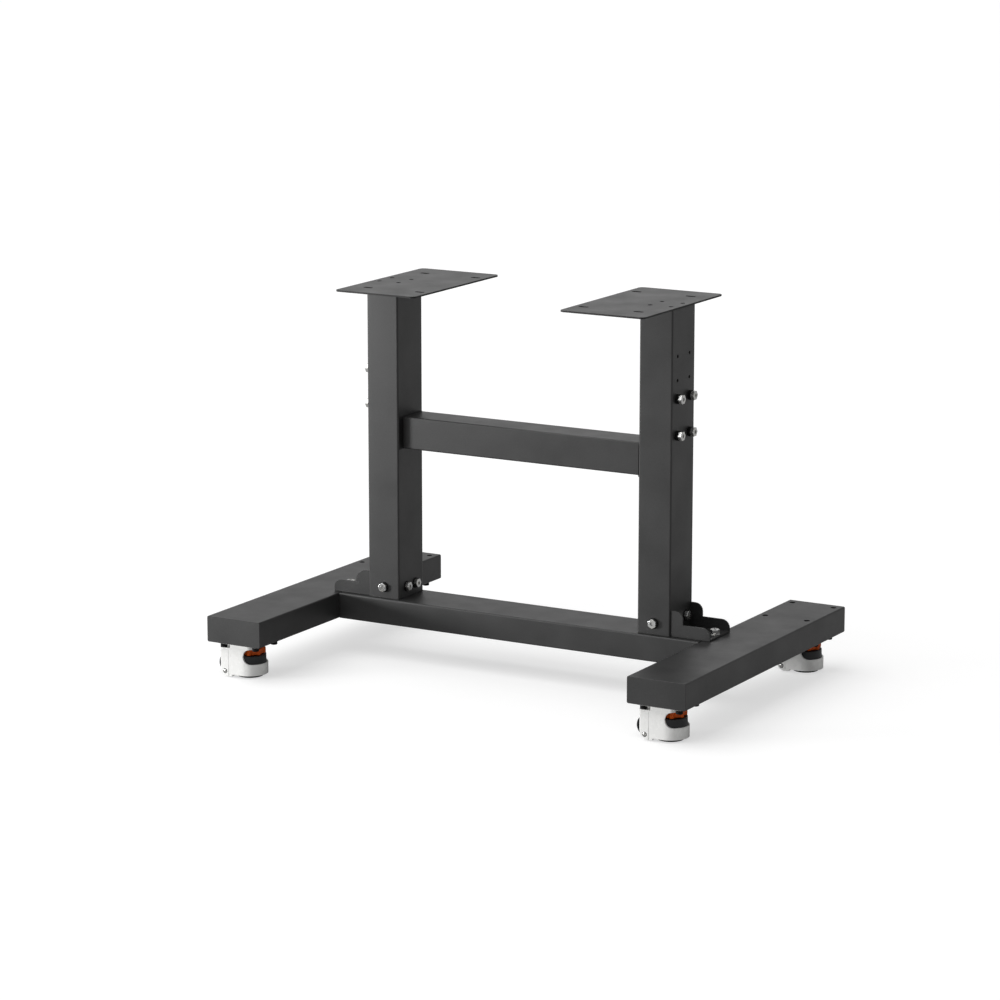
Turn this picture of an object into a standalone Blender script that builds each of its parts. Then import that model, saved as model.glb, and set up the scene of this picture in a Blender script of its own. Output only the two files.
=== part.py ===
"""Heavy-duty stand: an H-shaped base on four levelling castors, two bolted posts,
a stretcher between them and two slotted mounting plates on top.

Metres, +Z up, +Y to the back. The origin is on the floor, under the middle of the stand.
"""

import math

import bmesh
import bpy
from mathutils import Matrix, Vector

MM = 0.001
GAP = 0.3 * MM  # clearance between pieces that touch

# --- driving dimensions -----------------------------------------------------------------------
STAND_WIDTH = 1001 * MM
STAND_DEPTH = 657 * MM
RAIL_WIDTH = 116 * MM
RAIL_HEIGHT = 49.3 * MM
CASTOR_HEIGHT = 68.7 * MM
CROSS_DEPTH = 106 * MM
TUBE_WALL = 3 * MM
TUBE_CORNER = 3 * MM

POST_WIDTH = 67.1 * MM
POST_DEPTH = 88.8 * MM
POST_HEIGHT = 600.3 * MM
POST_MIDDLE = 288.6 * MM  # from the stand's centre plane
PLATE_THICKNESS = 3.2 * MM
PLATE_WIDTH = 171 * MM
PLATE_DEPTH = 314 * MM
PLATE_CORNER = 9 * MM

RAIL_BOTTOM = CASTOR_HEIGHT
RAIL_TOP = RAIL_BOTTOM + RAIL_HEIGHT
RAIL_MIDDLE = STAND_WIDTH / 2 - RAIL_WIDTH / 2
POST_BASE = RAIL_TOP + GAP
POST_TOP = POST_BASE + POST_HEIGHT
PLATE_BASE = POST_TOP + GAP
PLATE_TOP = PLATE_BASE + PLATE_THICKNESS
POST_INNER = POST_MIDDLE - POST_WIDTH / 2
POST_OUTER = POST_MIDDLE + POST_WIDTH / 2

# The stretcher sits a little towards the back of the posts.
STRETCHER_FRONT = -28.3 * MM
STRETCHER_BACK = 39.8 * MM
STRETCHER_BASE = RAIL_TOP + 289.7 * MM
STRETCHER_HEIGHT = 61.6 * MM
STRETCHER_WALL = 2.5 * MM
END_PLATE_THICKNESS = 1 * MM

# Foot bracket: a folded channel, tall beside the post and lower out on the rail.
BRACKET_SHEET = 3 * MM
BRACKET_TALL = 48 * MM
BRACKET_LOW = 23.3 * MM
BRACKET_STEP_X = 346.5 * MM
BRACKET_END_X = 402 * MM
BRACKET_TALL_RADIUS = 15 * MM
BRACKET_LOW_RADIUS = 16 * MM
CHEEK_OUTER_Y = POST_DEPTH / 2 - TUBE_WALL - GAP
CHEEK_INNER_Y = CHEEK_OUTER_Y - BRACKET_SHEET
BRACKET_BOLT_X = 391.2 * MM  # over the rail, just outside its inner wall

# M10 hexagon bolts, and the heights that they sit at.
BOLT_SHANK_R = 5 * MM
BOLT_HOLE_R = 5.4 * MM
HEX_ACROSS_CORNERS = 18.5 * MM
HEX_HEAD_HEIGHT = 6.6 * MM
WASHER_R = 10 * MM
WASHER_THICKNESS = 1 * MM
BOLT_REACH = 17 * MM
BRACKET_BOLT_SHANK_R = 3.4 * MM
BRACKET_HOLE_R = 3.6 * MM
BRACKET_BOLT_WASHERS = 3.6 * MM  # a flat and a spring washer
FOOT_BOLT_Z = RAIL_TOP + 21.5 * MM
FOOT_BOLT_Y = 16 * MM
OUTER_BOLT_Z = RAIL_TOP + 28.3 * MM
OUTER_BOLT_Y = 18 * MM
ACCESSORY_BOLT_Y = 24 * MM
ACCESSORY_BOLT_Z = (488 * MM, 555.3 * MM)
ACCESSORY_HOLE_Y = 23.3 * MM
ACCESSORY_HOLE_Z = (588.9 * MM, 633.2 * MM)
ACCESSORY_HOLE_R = 3.5 * MM
ACCESSORY_NUT_R = 9 * MM
ACCESSORY_NUT_HEIGHT = 6.2 * MM

# Holes in the top plates, measured from the stand's centre plane.
SLOT_X = (171.5 * MM, 283 * MM)
SLOT_Y = 102 * MM
SLOT_LENGTH = 20 * MM
SLOT_WIDTH = 9 * MM
PLATE_SCREW_X = (POST_MIDDLE - 23.4 * MM, POST_MIDDLE + 18.6 * MM)
PLATE_SCREW_Y = 23 * MM
PLATE_SCREW_R = 4.5 * MM
HEAD_BLOCK_THICKNESS = 8 * MM

# Four holes at the back end of each rail.
RAIL_HOLE_DX = 42.7 * MM
RAIL_HOLE_Y = (193 * MM, 309.9 * MM)
RAIL_HOLE_R = 5.5 * MM

# --- castor, in its own frame: swivel axis at x = y = 0, floor at z = 0, wheel towards -X -------
CASTOR_INSET = 52.2 * MM  # swivel axis from the end of the rail
CASTOR_SPOTS = {
    "front_left": (-RAIL_MIDDLE, -STAND_DEPTH / 2 + CASTOR_INSET),
    "front_right": (RAIL_MIDDLE, -STAND_DEPTH / 2 + CASTOR_INSET),
    "rear_left": (-RAIL_MIDDLE, STAND_DEPTH / 2 - CASTOR_INSET),
    "rear_right": (RAIL_MIDDLE, STAND_DEPTH / 2 - CASTOR_INSET),
}
MOUNT_PLATE_SIZE = (92 * MM, 82 * MM, 3.5 * MM)
MOUNT_HOLE = (35.2 * MM, 31 * MM)
MOUNT_HOLE_R = 4.5 * MM
MOUNT_TOP = CASTOR_HEIGHT - GAP
MOUNT_BASE = MOUNT_TOP - MOUNT_PLATE_SIZE[2]
BEARING_R = 31 * MM
BEARING_BASE = 57 * MM
FOOT_X = 2.5 * MM  # the levelling foot stands just ahead of the swivel axis
HOUSING_R = 33.5 * MM
HOUSING_REAR = -44 * MM
HOUSING_BASE = 1.8 * MM
HOUSING_SHOULDER = 56 * MM
HOUSING_TOP = 64 * MM
HOUSING_DRUM_R = 38 * MM
HOUSING_FRONT_CUT = 26 * MM
RING_BASE = 5.6 * MM
WINDOW_Z = (27 * MM, 56.9 * MM)
WINDOW_REACH = 7 * MM
CORE_R = 29.5 * MM
CORE_TOP = 42.6 * MM
WHEEL_R = 19.5 * MM
WHEEL_WIDTH = 32 * MM
WHEEL_X = -38.2 * MM
WHEEL_Z = 21.6 * MM
WELL_HALF_WIDTH = 17 * MM
WELL_FRONT = -15.5 * MM
WELL_TOP = 43.5 * MM
AXLE_R = 4 * MM
AXLE_LENGTH = 44 * MM
ADJUSTER_R = 29.3 * MM
ADJUSTER_Z = (43.4 * MM, 55.2 * MM)
ADJUSTER_LOBES = 8
ADJUSTER_LOBE_R = 3.2 * MM
PAD_R = 24.5 * MM
PAD_THICKNESS = 5 * MM
PAD_RECESS_R = 26.5 * MM
PAD_RECESS_TOP = 12 * MM
STEM_R = 8 * MM
STEM_TOP = 52 * MM
STEM_CLEARANCE = 0.4 * MM

ROUND = 20  # sides of a round piece
HOLE_SIDES = 16
SMALL_HOLE_SIDES = 8
SIDES = {"left": -1, "right": 1}


def clear_scene():
    for old in list(bpy.data.objects):
        bpy.data.objects.remove(old, do_unlink=True)


def new_collection(name):
    made = bpy.data.collections.new(name)
    bpy.context.scene.collection.children.link(made)
    return made


def finish_material(name, colour, roughness, metallic=0.0):
    made = bpy.data.materials.new(name)
    made.use_nodes = True
    shader = made.node_tree.nodes["Principled BSDF"]
    shader.inputs["Base Color"].default_value = (*colour, 1.0)
    shader.inputs["Roughness"].default_value = roughness
    shader.inputs["Metallic"].default_value = metallic
    made.diffuse_color = (*colour, 1.0)
    return made


clear_scene()
STAND = new_collection("machine_stand")
CUTTERS = new_collection("cutters")
POWDER_COAT = finish_material("charcoal_powder_coat", (0.07, 0.07, 0.072), 0.45)
BLACK_COAT = finish_material("black_coated_sheet", (0.015, 0.015, 0.016), 0.5)
ZINC = finish_material("zinc_plated_steel", (0.62, 0.62, 0.64), 0.3, 1.0)
WHITE_CASTING = finish_material("white_enamelled_casting", (0.8, 0.8, 0.79), 0.3)
ORANGE_NYLON = finish_material("orange_nylon", (0.48, 0.12, 0.02), 0.4)
BLACK_NYLON = finish_material("black_nylon", (0.012, 0.012, 0.013), 0.45)
BLACK_RUBBER = finish_material("black_rubber", (0.01, 0.01, 0.01), 0.8)


def as_object(name, bm, material, at=(0, 0, 0), home=None):
    """The bmesh as a named object of the stand, or as a cutter when it has no material."""
    bmesh.ops.recalc_face_normals(bm, faces=bm.faces)
    mesh = bpy.data.meshes.new(name)
    bm.to_mesh(mesh)
    bm.free()
    made = bpy.data.objects.new(name, mesh)
    made.location = at
    if material is None:
        made.display_type = "WIRE"
        made.hide_render = True
        CUTTERS.objects.link(made)
    else:
        mesh.materials.append(material)
        (home or STAND).objects.link(made)
    return made


def block(name, low, high, material=None, corner=0.0, along=None, segments=2):
    """A box between two corners; corner rounds the edges that run along the given axis."""
    bm = bmesh.new()
    bmesh.ops.create_cube(bm, size=1.0)
    low, high = Vector(low), Vector(high)
    size = high - low
    bmesh.ops.scale(bm, vec=size, verts=bm.verts)
    if corner:
        edges = [
            edge
            for edge in bm.edges
            if abs((edge.verts[0].co - edge.verts[1].co)[along]) > size[along] / 2
        ]
        bmesh.ops.bevel(
            bm, geom=edges, offset=corner, offset_type="OFFSET",
            segments=segments, profile=0.5, affect="EDGES", material=-1,
        )
    return as_object(name, bm, material, (low + high) / 2)


def cylinder(name, centre, radius, length, axis="Z", material=None, sides=ROUND, top_radius=None):
    """A round bar of the given length, centred on a point."""
    bm = bmesh.new()
    bmesh.ops.create_cone(
        bm, cap_ends=True, segments=sides, radius1=radius,
        radius2=radius if top_radius is None else top_radius, depth=length,
    )
    turn = {"X": Matrix.Rotation(math.pi / 2, 3, "Y"), "Y": Matrix.Rotation(-math.pi / 2, 3, "X")}
    if axis in turn:
        bmesh.ops.rotate(bm, cent=(0, 0, 0), matrix=turn[axis], verts=bm.verts)
    return as_object(name, bm, material, centre)


def combine(target, other, operation):
    """A Boolean that stays live on the target, with its operand kept out of the render."""
    modifier = target.modifiers.new(f"{operation.lower()}_{other.name}"[:60], "BOOLEAN")
    modifier.operation = operation
    modifier.object = other
    modifier.solver = "EXACT"
    return target


def cut(target, *cutters):
    for cutter in cutters:
        combine(target, cutter, "DIFFERENCE")
    return target


def join(target, *others):
    for other in others:
        combine(target, other, "UNION")
    return target


def realise(target):
    """The object with its modifiers applied, so that it can be an operand itself or be copied."""
    graph = bpy.context.evaluated_depsgraph_get()
    mesh = bpy.data.meshes.new_from_object(target.evaluated_get(graph))
    target.modifiers.clear()
    target.data = mesh
    return target


def arc(centre, radius, start, end, steps=5):
    """Points along an arc, in degrees."""
    angles = [math.radians(start + (end - start) * i / steps) for i in range(steps + 1)]
    return [(centre[0] + radius * math.cos(a), centre[1] + radius * math.sin(a)) for a in angles]


def flat_outline(name, points, thickness, turn, at, material=None):
    """A flat plate cut to an outline: a filled 2D curve, extruded, then made a mesh."""
    curve = bpy.data.curves.new(name, "CURVE")
    curve.dimensions = "2D"
    curve.fill_mode = "BOTH"
    curve.extrude = thickness / 2
    spline = curve.splines.new("POLY")
    spline.points.add(len(points) - 1)
    for place, (x, y) in zip(spline.points, points):
        place.co = (x, y, 0, 1)
    spline.use_cyclic_u = True
    guide = bpy.data.objects.new(name + "_outline", curve)
    CUTTERS.objects.link(guide)
    bpy.context.view_layer.update()
    graph = bpy.context.evaluated_depsgraph_get()
    mesh = bpy.data.meshes.new_from_object(guide.evaluated_get(graph))
    bpy.data.objects.remove(guide)
    bm = bmesh.new()
    bm.from_mesh(mesh)
    bmesh.ops.remove_doubles(bm, verts=bm.verts, dist=1e-6)
    bmesh.ops.transform(bm, matrix=turn, verts=bm.verts)
    return as_object(name, bm, material, at)


def tube(name, low, high, axis, wall, material, capped=False):
    """A rectangular tube between two corners, its run along one axis; capped closes both ends."""
    outer = block(name, low, high, material, TUBE_CORNER, axis, segments=3)
    inner_low, inner_high = Vector(low), Vector(high)
    for i in range(3):
        if i != axis or capped:
            inner_low[i] += wall
            inner_high[i] -= wall
        else:
            inner_low[i] -= 5 * MM
            inner_high[i] += 5 * MM
    return cut(outer, block(name + "_inside", inner_low, inner_high))


def stacked(name, face, direction, discs, material):
    """Discs and prisms stacked along one direction and joined: (radius, start, end, sides) each."""
    turn = Vector((0, 0, 1)).rotation_difference(Vector(direction)).to_matrix()
    base = None
    for index, (radius, start, end, sides) in enumerate(discs):
        bm = bmesh.new()
        bmesh.ops.create_cone(
            bm, cap_ends=True, segments=sides, radius1=radius, radius2=radius, depth=end - start
        )
        bmesh.ops.translate(bm, vec=(0, 0, (start + end) / 2), verts=bm.verts)
        bmesh.ops.rotate(bm, cent=(0, 0, 0), matrix=turn, verts=bm.verts)
        if base is None:
            base = as_object(name, bm, material, face)
        else:
            join(base, as_object(f"{name}_piece{index}", bm, None, face))
    return base


def hex_bolt(name, face, direction, nut=False):
    """A hexagon bolt on a washer; an accessory bolt also stands on a nut run against the post."""
    overlap = 0.2 * MM
    discs = [(BOLT_SHANK_R, -BOLT_REACH, GAP + WASHER_THICKNESS / 2, HOLE_SIDES)]
    if nut:
        base = GAP + ACCESSORY_NUT_HEIGHT
        discs.append((ACCESSORY_NUT_R, GAP, base, HOLE_SIDES))
    else:
        base = GAP + WASHER_THICKNESS
        discs.append((WASHER_R, GAP, base, ROUND))
    discs.append((HEX_ACROSS_CORNERS / 2, base - overlap, base + HEX_HEAD_HEIGHT, 6))
    return stacked(name, face, direction, discs, ZINC)


def bracket_bolt(name, face):
    """The bolt that holds a bracket down on its rail, on a flat and a spring washer."""
    seat = GAP + BRACKET_BOLT_WASHERS
    discs = [
        (BRACKET_BOLT_SHANK_R, -BOLT_REACH, GAP + BRACKET_BOLT_WASHERS / 2, HOLE_SIDES),
        (WASHER_R, GAP, seat, ROUND),
        (HEX_ACROSS_CORNERS / 2, seat - 0.2 * MM, seat + HEX_HEAD_HEIGHT, 6),
    ]
    return stacked(name, face, (0, 0, 1), discs, ZINC)


# --- frame --------------------------------------------------------------------------------------
def make_rails():
    for side, sign in SIDES.items():
        middle = sign * RAIL_MIDDLE
        rail = tube(
            f"side_rail_{side}",
            (middle - RAIL_WIDTH / 2, -STAND_DEPTH / 2, RAIL_BOTTOM),
            (middle + RAIL_WIDTH / 2, STAND_DEPTH / 2, RAIL_TOP),
            1, TUBE_WALL, POWDER_COAT, capped=True,
        )
        for i, (dx, y) in enumerate([(dx, y) for dx in (-1, 1) for y in RAIL_HOLE_Y]):
            hole = (middle + dx * RAIL_HOLE_DX, y, RAIL_TOP)
            cut(rail, cylinder(f"rail_{side}_hole{i}", hole, RAIL_HOLE_R, 10 * MM, sides=HOLE_SIDES))
        place = (sign * BRACKET_BOLT_X, 0, RAIL_TOP)
        hole = cylinder(f"rail_{side}_bracket_hole", place, BRACKET_HOLE_R, 10 * MM, sides=HOLE_SIDES)
        cut(rail, hole)
        for spot, (x, y) in CASTOR_SPOTS.items():
            if x * sign < 0:
                continue
            for i, (dx, dy) in enumerate([(a, b) for a in (-1, 1) for b in (-1, 1)]):
                hole = (x + dx * MOUNT_HOLE[0], y + dy * MOUNT_HOLE[1], RAIL_BOTTOM)
                name = f"rail_{spot}_screw_hole{i}"
                cut(rail, cylinder(name, hole, MOUNT_HOLE_R, 10 * MM, sides=SMALL_HOLE_SIDES))


def make_cross_member():
    half = RAIL_MIDDLE - RAIL_WIDTH / 2 - GAP
    tube(
        "cross_member",
        (-half, -CROSS_DEPTH / 2, RAIL_BOTTOM),
        (half, CROSS_DEPTH / 2, RAIL_TOP),
        0, TUBE_WALL, POWDER_COAT,
    )


def make_posts():
    for side, sign in SIDES.items():
        x_low, x_high = sorted((sign * POST_INNER, sign * POST_OUTER))
        post = tube(
            f"post_{side}",
            (x_low, -POST_DEPTH / 2, POST_BASE),
            (x_high, POST_DEPTH / 2, POST_TOP),
            2, TUBE_WALL, POWDER_COAT,
        )
        # The foot bracket passes through the outer wall: two upright slots and one along the floor.
        wall_low, wall_high = sorted((sign * (POST_OUTER - 2 * TUBE_WALL), sign * (POST_OUTER + TUBE_WALL)))
        slot_top = POST_BASE + BRACKET_TALL + 2 * GAP
        for i, y in enumerate((-1, 1)):
            y_low, y_high = sorted((y * (CHEEK_INNER_Y - GAP), y * (CHEEK_OUTER_Y + GAP * 0.9)))
            cut(post, block(f"post_{side}_slot{i}", (wall_low, y_low, POST_BASE - MM), (wall_high, y_high, slot_top)))
        floor_top = POST_BASE + BRACKET_SHEET + 2 * GAP
        cut(post, block(
            f"post_{side}_floor_slot",
            (wall_low, -CHEEK_OUTER_Y, POST_BASE - MM),
            (wall_high, CHEEK_OUTER_Y, floor_top),
        ))
        for i, y in enumerate((-1, 1)):
            at = (sign * POST_MIDDLE, y * POST_DEPTH / 2, FOOT_BOLT_Z)
            cut(post, cylinder(f"post_{side}_face_hole{i}", at, BOLT_HOLE_R, 14 * MM, "Y", sides=HOLE_SIDES))
            holes = ((POST_INNER, FOOT_BOLT_Y, FOOT_BOLT_Z), (POST_OUTER, OUTER_BOLT_Y, OUTER_BOLT_Z))
            for j, (x, dy, z) in enumerate(holes):
                at = (sign * x, y * dy, z)
                cut(post, cylinder(f"post_{side}_side_hole{i}{j}", at, BOLT_HOLE_R, 14 * MM, "X", sides=HOLE_SIDES))
            for j, z in enumerate(ACCESSORY_BOLT_Z):
                at = (sign * POST_OUTER, y * ACCESSORY_BOLT_Y, z)
                cut(post, cylinder(f"post_{side}_bolt_hole{i}{j}", at, BOLT_HOLE_R, 14 * MM, "X", sides=HOLE_SIDES))
            for j, z in enumerate(ACCESSORY_HOLE_Z):
                at = (sign * POST_OUTER, y * ACCESSORY_HOLE_Y, z)
                cut(post, cylinder(f"post_{side}_small_hole{i}{j}", at, ACCESSORY_HOLE_R, 14 * MM, "X", sides=SMALL_HOLE_SIDES))


def make_stretcher():
    plate_half = POST_INNER - GAP
    tube_half = plate_half - END_PLATE_THICKNESS - GAP
    top = STRETCHER_BASE + STRETCHER_HEIGHT
    tube(
        "stretcher",
        (-tube_half, STRETCHER_FRONT, STRETCHER_BASE),
        (tube_half, STRETCHER_BACK, top),
        0, STRETCHER_WALL, POWDER_COAT,
    )
    edge = POST_DEPTH / 2 - 1 * MM
    for side, sign in SIDES.items():
        x_low, x_high = sorted((sign * plate_half, sign * (plate_half - END_PLATE_THICKNESS)))
        block(
            f"stretcher_end_plate_{side}",
            (x_low, -edge, STRETCHER_BASE), (x_high, edge, top),
            BLACK_COAT, 3 * MM, 0,
        )


def make_top_plates():
    for side, sign in SIDES.items():
        x_low, x_high = sorted((sign * POST_OUTER, sign * (POST_OUTER - PLATE_WIDTH)))
        plate = block(
            f"top_plate_{side}",
            (x_low, -PLATE_DEPTH / 2, PLATE_BASE), (x_high, PLATE_DEPTH / 2, PLATE_TOP),
            POWDER_COAT, PLATE_CORNER, 2, segments=4,
        )
        slots = [(x, y) for x in SLOT_X for y in (-SLOT_Y, SLOT_Y)]
        for i, (x, y) in enumerate(slots):
            half = SLOT_LENGTH / 2
            cutter = block(
                f"plate_{side}_slot{i}",
                (sign * x - half, y - SLOT_WIDTH / 2, PLATE_BASE - MM),
                (sign * x + half, y + SLOT_WIDTH / 2, PLATE_TOP + MM),
                None, SLOT_WIDTH / 2 * 0.98, 2, segments=3,
            )
            cut(plate, cutter)
        head = block(
            f"post_head_block_{side}",
            (
                sign * POST_MIDDLE - POST_WIDTH / 2 + TUBE_WALL + GAP,
                -POST_DEPTH / 2 + TUBE_WALL + GAP,
                POST_TOP - HEAD_BLOCK_THICKNESS,
            ),
            (
                sign * POST_MIDDLE + POST_WIDTH / 2 - TUBE_WALL - GAP,
                POST_DEPTH / 2 - TUBE_WALL - GAP,
                POST_TOP,
            ),
            POWDER_COAT,
        )
        screws = [(x, y) for x in PLATE_SCREW_X for y in (-PLATE_SCREW_Y, PLATE_SCREW_Y)]
        for i, (x, y) in enumerate(screws):
            cut(plate, cylinder(f"plate_{side}_screw{i}", (sign * x, y, PLATE_TOP), PLATE_SCREW_R, 12 * MM, sides=HOLE_SIDES))
            cut(head, cylinder(f"head_{side}_screw{i}", (sign * x, y, POST_TOP), PLATE_SCREW_R - MM, 30 * MM, sides=SMALL_HOLE_SIDES))


def cheek_points(start):
    """The cheek's outline in X and Z above the rail: tall beside the post, low at the end."""
    step, end = BRACKET_STEP_X, BRACKET_END_X
    tall, low = BRACKET_TALL, BRACKET_LOW
    tall_r, low_r = BRACKET_TALL_RADIUS, BRACKET_LOW_RADIUS
    points = [(start, 0.0), (end, 0.0)]
    points += arc((end - low_r, low - low_r), low_r, 0, 90)
    points += [(step, low)]
    points += arc((step - tall_r, tall - tall_r), tall_r, 0, 90)
    points += [(start, tall)]
    return points


def make_foot_brackets():
    """The sheet outline is extruded to full width, then the channel is cut out of its middle."""
    for side, sign in SIDES.items():
        start = POST_INNER + TUBE_WALL + GAP
        base = POST_BASE + GAP
        points = [(sign * x, z) for x, z in cheek_points(start)]
        upright = Matrix.Rotation(math.pi / 2, 4, "X")
        bracket = flat_outline(
            f"foot_bracket_{side}", points, 2 * CHEEK_OUTER_Y, upright, (0, 0, base), POWDER_COAT
        )
        x_low, x_high = sorted((sign * (start + BRACKET_SHEET), sign * (BRACKET_END_X + 5 * MM)))
        channel = block(
            f"bracket_{side}_channel",
            (x_low, -CHEEK_INNER_Y, base + BRACKET_SHEET),
            (x_high, CHEEK_INNER_Y, base + BRACKET_TALL + 5 * MM),
        )
        cut(bracket, channel)
        for i, y in enumerate((-1, 1)):
            at = (sign * POST_MIDDLE, y * CHEEK_OUTER_Y, FOOT_BOLT_Z)
            cut(bracket, cylinder(f"bracket_{side}_hole{i}", at, BOLT_HOLE_R, 14 * MM, "Y", sides=HOLE_SIDES))
            at = (sign * start, y * FOOT_BOLT_Y, FOOT_BOLT_Z)
            cut(bracket, cylinder(f"bracket_{side}_web_hole{i}", at, BOLT_HOLE_R, 14 * MM, "X", sides=HOLE_SIDES))
        at = (sign * BRACKET_BOLT_X, 0, base)
        cut(bracket, cylinder(f"bracket_{side}_floor_hole", at, BRACKET_HOLE_R, 14 * MM, sides=HOLE_SIDES))


def make_bolts():
    for side, sign in SIDES.items():
        for face, y in (("front", -1), ("rear", 1)):
            at = (sign * POST_MIDDLE, y * POST_DEPTH / 2, FOOT_BOLT_Z)
            hex_bolt(f"post_{side}_{face}_bolt", at, (0, y, 0))
            at = (sign * POST_INNER, y * FOOT_BOLT_Y, FOOT_BOLT_Z)
            hex_bolt(f"post_{side}_inner_{face}_bolt", at, (-sign, 0, 0))
            at = (sign * POST_OUTER, y * OUTER_BOLT_Y, OUTER_BOLT_Z)
            hex_bolt(f"post_{side}_outer_{face}_bolt", at, (sign, 0, 0))
            for level, z in zip(("lower", "upper"), ACCESSORY_BOLT_Z):
                at = (sign * POST_OUTER, y * ACCESSORY_BOLT_Y, z)
                hex_bolt(f"accessory_bolt_{side}_{face}_{level}", at, (sign, 0, 0), nut=True)
        at = (sign * BRACKET_BOLT_X, 0, POST_BASE + GAP + BRACKET_SHEET)
        bracket_bolt(f"foot_bracket_bolt_{side}", at)


# --- castors ------------------------------------------------------------------------------------
def castor_mount():
    w, d, _ = MOUNT_PLATE_SIZE
    plate = block(
        "mount_master", (-w / 2, -d / 2, MOUNT_BASE), (w / 2, d / 2, MOUNT_TOP), None, 6 * MM, 2, 3
    )
    middle = (BEARING_BASE + MOUNT_BASE) / 2
    join(plate, cylinder("bearing_master", (0, 0, middle + MM / 2), BEARING_R, MOUNT_BASE - BEARING_BASE + MM, sides=28))
    for i, (dx, dy) in enumerate([(a, b) for a in (-1, 1) for b in (-1, 1)]):
        at = (dx * MOUNT_HOLE[0], dy * MOUNT_HOLE[1], MOUNT_TOP)
        cut(plate, cylinder(f"mount_hole{i}", at, MOUNT_HOLE_R, 20 * MM, sides=SMALL_HOLE_SIDES))
    return plate


def housing_side_points():
    """The housing seen from the side: a big radius at the low rear corner."""
    rear_r = 22 * MM
    points = arc((HOUSING_REAR + rear_r, HOUSING_BASE + rear_r), rear_r, 180, 270, 7)
    points += [(-18 * MM, HOUSING_BASE), (-15 * MM, RING_BASE), (50 * MM, RING_BASE)]
    points += [(50 * MM, HOUSING_SHOULDER), (HOUSING_REAR, HOUSING_SHOULDER)]
    return points


def housing_plan_points():
    """The housing seen from above: a half round at the foot, square cheeks at the wheel."""
    corner = 5 * MM
    points = arc((FOOT_X, 0), HOUSING_R, -90, 90, 16)
    points += arc((HOUSING_REAR + corner, HOUSING_R - corner), corner, 90, 180, 4)
    points += arc((HOUSING_REAR + corner, -HOUSING_R + corner), corner, 180, 270, 4)
    return points


def castor_housing():
    upright = Matrix.Rotation(math.pi / 2, 4, "X")
    height = HOUSING_SHOULDER
    body = flat_outline(
        "housing_master", housing_plan_points(), height + 2 * MM, Matrix.Identity(4), (0, 0, height / 2)
    )
    side = flat_outline("housing_side", housing_side_points(), 90 * MM, upright, (0, 0, 0))
    combine(body, side, "INTERSECT")
    realise(body)
    drum_middle = (HOUSING_SHOULDER + HOUSING_TOP) / 2
    drum_height = HOUSING_TOP - HOUSING_SHOULDER
    drum = cylinder(
        "housing_drum", (0, 0, drum_middle - MM / 2), HOUSING_DRUM_R, drum_height + MM, sides=32
    )
    trim = block("housing_drum_trim", (-60 * MM, -HOUSING_R, 0), (60 * MM, HOUSING_R, 80 * MM))
    combine(drum, trim, "INTERSECT")
    realise(drum)
    join(body, drum)
    window_low, window_high = WINDOW_Z
    window_r = (window_high - window_low) / 2
    window_points = arc((WINDOW_REACH + window_r, (window_low + window_high) / 2), window_r, 90, 270, 10)
    window_points += [(60 * MM, window_low), (60 * MM, window_high)]
    window = flat_outline("housing_window", window_points, 90 * MM, upright, (0, 0, 0))
    core_height = CORE_TOP - MM
    core = cylinder("housing_core", (FOOT_X, 0, core_height / 2), CORE_R, core_height, sides=32)
    cut(window, core)
    realise(window)
    front = block(
        "housing_front_cut", (HOUSING_FRONT_CUT, -50 * MM, window_high - MM), (60 * MM, 50 * MM, 80 * MM)
    )
    adjuster_room = cylinder(
        "housing_adjuster_room",
        (FOOT_X, 0, (CORE_TOP - MM + window_high) / 2),
        CORE_R + MM, window_high - CORE_TOP + MM, sides=32,
    )
    bearing_room = cylinder(
        "housing_bearing_room",
        (0, 0, (window_high - 0.5 * MM + HOUSING_TOP + MM) / 2),
        BEARING_R + 0.5 * MM, HOUSING_TOP + 1.5 * MM - window_high, sides=28,
    )
    well = block(
        "housing_wheel_well", (-60 * MM, -WELL_HALF_WIDTH, -MM), (WELL_FRONT, WELL_HALF_WIDTH, WELL_TOP)
    )
    recess = cylinder(
        "housing_pad_recess", (FOOT_X, 0, PAD_RECESS_TOP / 2 - MM), PAD_RECESS_R, PAD_RECESS_TOP + 2 * MM, sides=28
    )
    bore = cylinder(
        "housing_stem_bore", (FOOT_X, 0, 30 * MM), STEM_R + STEM_CLEARANCE, 60 * MM, sides=16
    )
    axle_hole = cylinder(
        "housing_axle_hole", (WHEEL_X, 0, WHEEL_Z), AXLE_R + GAP, AXLE_LENGTH + 2 * GAP, "Y", sides=HOLE_SIDES
    )
    return cut(body, window, front, adjuster_room, bearing_room, well, recess, bore, axle_hole)


def castor_wheel():
    """The wheel is turned: a crowned tread over a plain bore."""
    half = WHEEL_WIDTH / 2
    bore = AXLE_R + 0.3 * MM
    profile = [
        (bore, half), (WHEEL_R - 1.5 * MM, half), (WHEEL_R, half - 2 * MM),
        (WHEEL_R, -half + 2 * MM), (WHEEL_R - 1.5 * MM, -half), (bore, -half),
    ]
    bm = bmesh.new()
    verts = [bm.verts.new((r, y, 0)) for r, y in profile]
    edges = [bm.edges.new((a, b)) for a, b in zip(verts, verts[1:] + verts[:1])]
    bmesh.ops.spin(
        bm, geom=verts + edges, cent=(0, 0, 0), axis=(0, 1, 0),
        angle=2 * math.pi, steps=24, use_merge=True,
    )
    bmesh.ops.remove_doubles(bm, verts=bm.verts, dist=1e-6)
    return as_object("wheel_master", bm, None, (WHEEL_X, 0, WHEEL_Z))


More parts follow.
